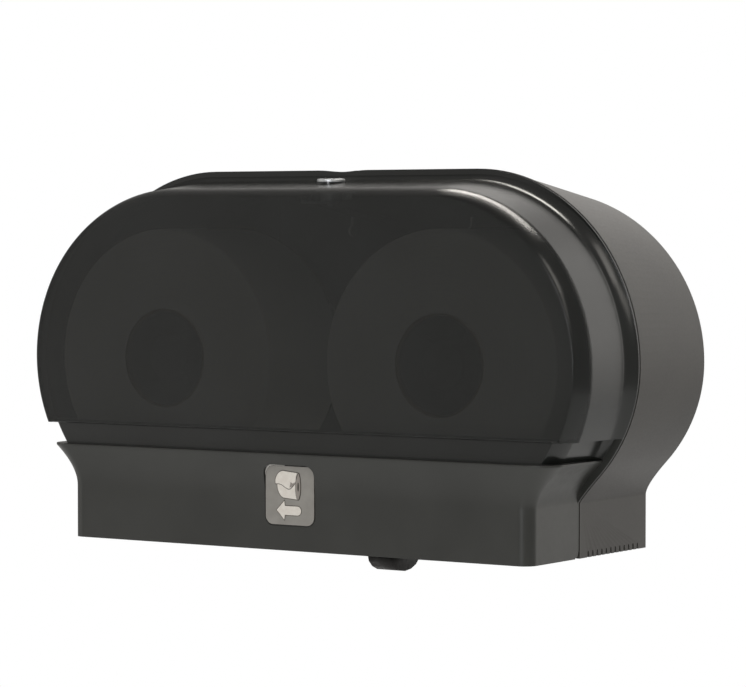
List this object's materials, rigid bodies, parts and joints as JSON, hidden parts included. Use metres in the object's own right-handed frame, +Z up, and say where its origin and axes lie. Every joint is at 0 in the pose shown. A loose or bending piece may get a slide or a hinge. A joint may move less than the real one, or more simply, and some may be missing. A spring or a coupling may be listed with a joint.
{
  "type": "double roll toilet paper dispenser",
  "caption": "Wall-mounted jumbo toilet paper dispenser: smoked hinged front over rolls side by side, round-ended casing on a flared base, a shutter sliding between paper exits, and a key lock.",
  "frame": {"origin": "on the wall face of the back panel, midway between the two rolls and level with their axes", "axes": "+Y into the wall, -Y towards the user, +X to the user's right, +Z up"},
  "size_m": [0.554, 0.188, 0.319],
  "materials": {
    "black_abs": "fine satin moulding",
    "smoked_polycarbonate": "smoked, satin polished",
    "black_nylon": "plain moulding",
    "steel": "zinc plated",
    "chrome": "bright",
    "sign_grey": "satin",
    "core_board": "plain",
    "tissue": "soft, embossed"
  },
  "bodies": {
    "housing": {"rear_housing": "black_abs", "exit_frame": "black_abs", "strike_plate": "steel", "hinge_pin_left": "steel", "hinge_pin_right": "steel", "spindle_left": "black_nylon", "spindle_right": "black_nylon", "spindle_cap_left": "black_nylon", "spindle_cap_right": "black_nylon", "spindle_screw_left_1": "steel", "spindle_screw_left_2": "steel", "spindle_screw_left_3": "steel", "spindle_screw_right_1": "steel", "spindle_screw_right_2": "steel", "spindle_screw_right_3": "steel", "frame_screw_left_front": "steel", "frame_screw_left_back": "steel", "frame_screw_right_front": "steel", "frame_screw_right_back": "steel", "strike_screw_left": "steel", "strike_screw_right": "steel"},
    "cover": {"front_cover": "smoked_polycarbonate", "sign_plate": "sign_grey", "lock_body": "chrome", "lock_nut": "steel"},
    "lock": {"lock_plug": "chrome", "lock_cam": "steel", "cam_screw": "steel"},
    "slider": {"shutter": "black_abs"},
    "roll_left": {"core_hub_left": "black_nylon", "roll_core_left": "core_board", "paper_roll_left": "tissue"},
    "roll_right": {"core_hub_right": "black_nylon", "roll_core_right": "core_board", "paper_roll_right": "tissue"}
  },
  "joints": [
    {"name": "cover_hinge", "type": "hinge", "parent": "housing", "child": "cover", "pos_m": [0, -0.1127, -0.1455], "axis": [1, 0, 0], "range_deg": [0, 90]},
    {"name": "lock_turn", "type": "hinge", "parent": "cover", "child": "lock", "pos_m": [0, -0.1235, 0.1277], "axis": [0, 0, -1], "range_deg": [0, 90]},
    {"name": "shutter_slide", "type": "slide", "parent": "housing", "child": "slider", "axis": [1, 0, 0], "range_m": [-0.1538, 0]},
    {"name": "roll_left_spin", "type": "hinge", "parent": "housing", "child": "roll_left", "pos_m": [-0.134, -0.12, 0], "axis": [0, 1, 0], "continuous": true},
    {"name": "roll_right_spin", "type": "hinge", "parent": "housing", "child": "roll_right", "pos_m": [0.134, -0.12, 0], "axis": [0, 1, 0], "continuous": true}
  ]
}
